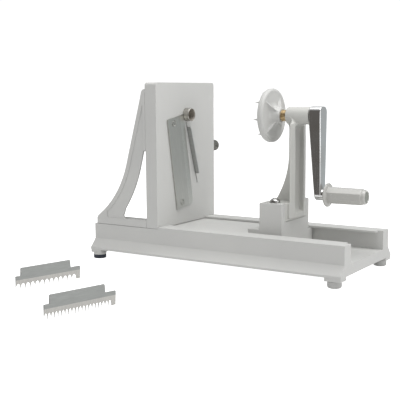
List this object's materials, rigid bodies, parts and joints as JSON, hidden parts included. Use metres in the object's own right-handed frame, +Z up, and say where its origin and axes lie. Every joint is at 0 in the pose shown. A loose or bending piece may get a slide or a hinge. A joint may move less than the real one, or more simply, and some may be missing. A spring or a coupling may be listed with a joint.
{
  "type": "spiralizer",
  "caption": "Hand-cranked spiralizer: upright cutting plate with knife and comb on a tray, and a sliding column with pronged disc and crank.",
  "frame": {"origin": "centre of the footprint of the machine and its two loose combs together, on the table that they stand on", "axes": "+X along the tray to the crank end, and along the shaft; +Y across the tray, away from the loose combs; +Z up"},
  "size_m": [0.36, 0.4266, 0.2323],
  "materials": {
    "white_plastic": "white moulded plastic with a soft sheen",
    "grey_plastic": "light grey moulded plastic",
    "rubber": "dark blue-black rubber",
    "blade_steel": "fine ground steel with a bright bevel",
    "comb_steel": "ground steel with a bright bevel near the teeth",
    "screw_steel": "turned steel",
    "knob_steel": "dark fluted steel",
    "crank_chrome": "polished chrome on a cast arm",
    "brass": "turned brass"
  },
  "bodies": {
    "frame": {"base_tray": "white_plastic", "near_rubber_foot": "rubber", "far_rubber_foot": "rubber", "near_crank_end_foot": "grey_plastic", "far_crank_end_foot": "grey_plastic", "near_front_bracket_screw": "screw_steel", "near_rear_bracket_screw": "screw_steel", "near_plate_screw": "screw_steel", "far_front_bracket_screw": "screw_steel", "far_rear_bracket_screw": "screw_steel", "far_plate_screw": "screw_steel", "cutting_plate": "white_plastic", "near_bracket": "white_plastic", "far_bracket": "white_plastic", "straight_knife": "blade_steel", "lower_knife_screw": "screw_steel", "upper_knife_screw": "screw_steel", "coring_tube": "blade_steel", "clamp_insert": "brass"},
    "comb_in_slot": {"fitted_comb": "comb_steel"},
    "clamp_screw": {"clamp_rod": "screw_steel"},
    "clamp_grip": {"clamp_knob": "knob_steel"},
    "carriage": {"slide_board": "white_plastic", "column": "white_plastic", "near_column_screw": "screw_steel", "far_column_screw": "screw_steel", "front_bush": "brass", "rear_bush": "brass"},
    "crank": {"crank_shaft": "screw_steel", "prong_disc": "white_plastic", "crank_arm": "crank_chrome", "handle_axle": "screw_steel", "handle_washer": "screw_steel", "handle_screw": "screw_steel"},
    "handle": {"grip": "white_plastic", "grip_cap": "grey_plastic"},
    "loose_coarse_comb": {"coarse_comb": "comb_steel"},
    "loose_fine_comb": {"fine_comb": "comb_steel"}
  },
  "joints": [
    {"name": "carriage_slide", "type": "slide", "parent": "frame", "child": "carriage", "axis": [1, 0, 0], "range_m": [-0.1, 0.088]},
    {"name": "crank_turn", "type": "hinge", "parent": "carriage", "child": "crank", "pos_m": [0.1051, 0.1285, 0.1902], "axis": [1, 0, 0], "continuous": true},
    {"name": "grip_spin", "type": "hinge", "parent": "crank", "child": "handle", "pos_m": [0.1267, 0.1285, 0.0952], "axis": [1, 0, 0], "continuous": true},
    {"name": "clamp_rod_slide", "type": "slide", "parent": "frame", "child": "clamp_screw", "axis": [0, 1, 0], "range_m": [0, 0.002]},
    {"name": "clamp_knob_turn", "type": "hinge", "parent": "clamp_screw", "child": "clamp_grip", "pos_m": [-0.0845, 0.1974, 0.145], "axis": [0, 1, 0], "range_deg": [0, 725]},
    {"name": "fitted_comb_slide", "type": "slide", "parent": "frame", "child": "comb_in_slot", "axis": [-1, 0, 0], "range_m": [0, 0.03]},
    {"name": "coarse_comb_lift", "type": "slide", "parent": "frame", "child": "loose_coarse_comb", "axis": [0, 0, 1], "range_m": [0, 0.05]},
    {"name": "fine_comb_lift", "type": "slide", "parent": "frame", "child": "loose_fine_comb", "axis": [0, 0, 1], "range_m": [0, 0.05]}
  ],
  "couplings": [
    {"joint": "clamp_knob_turn", "follows": "clamp_rod_slide", "rad_per_m": 6283.2}
  ]
}
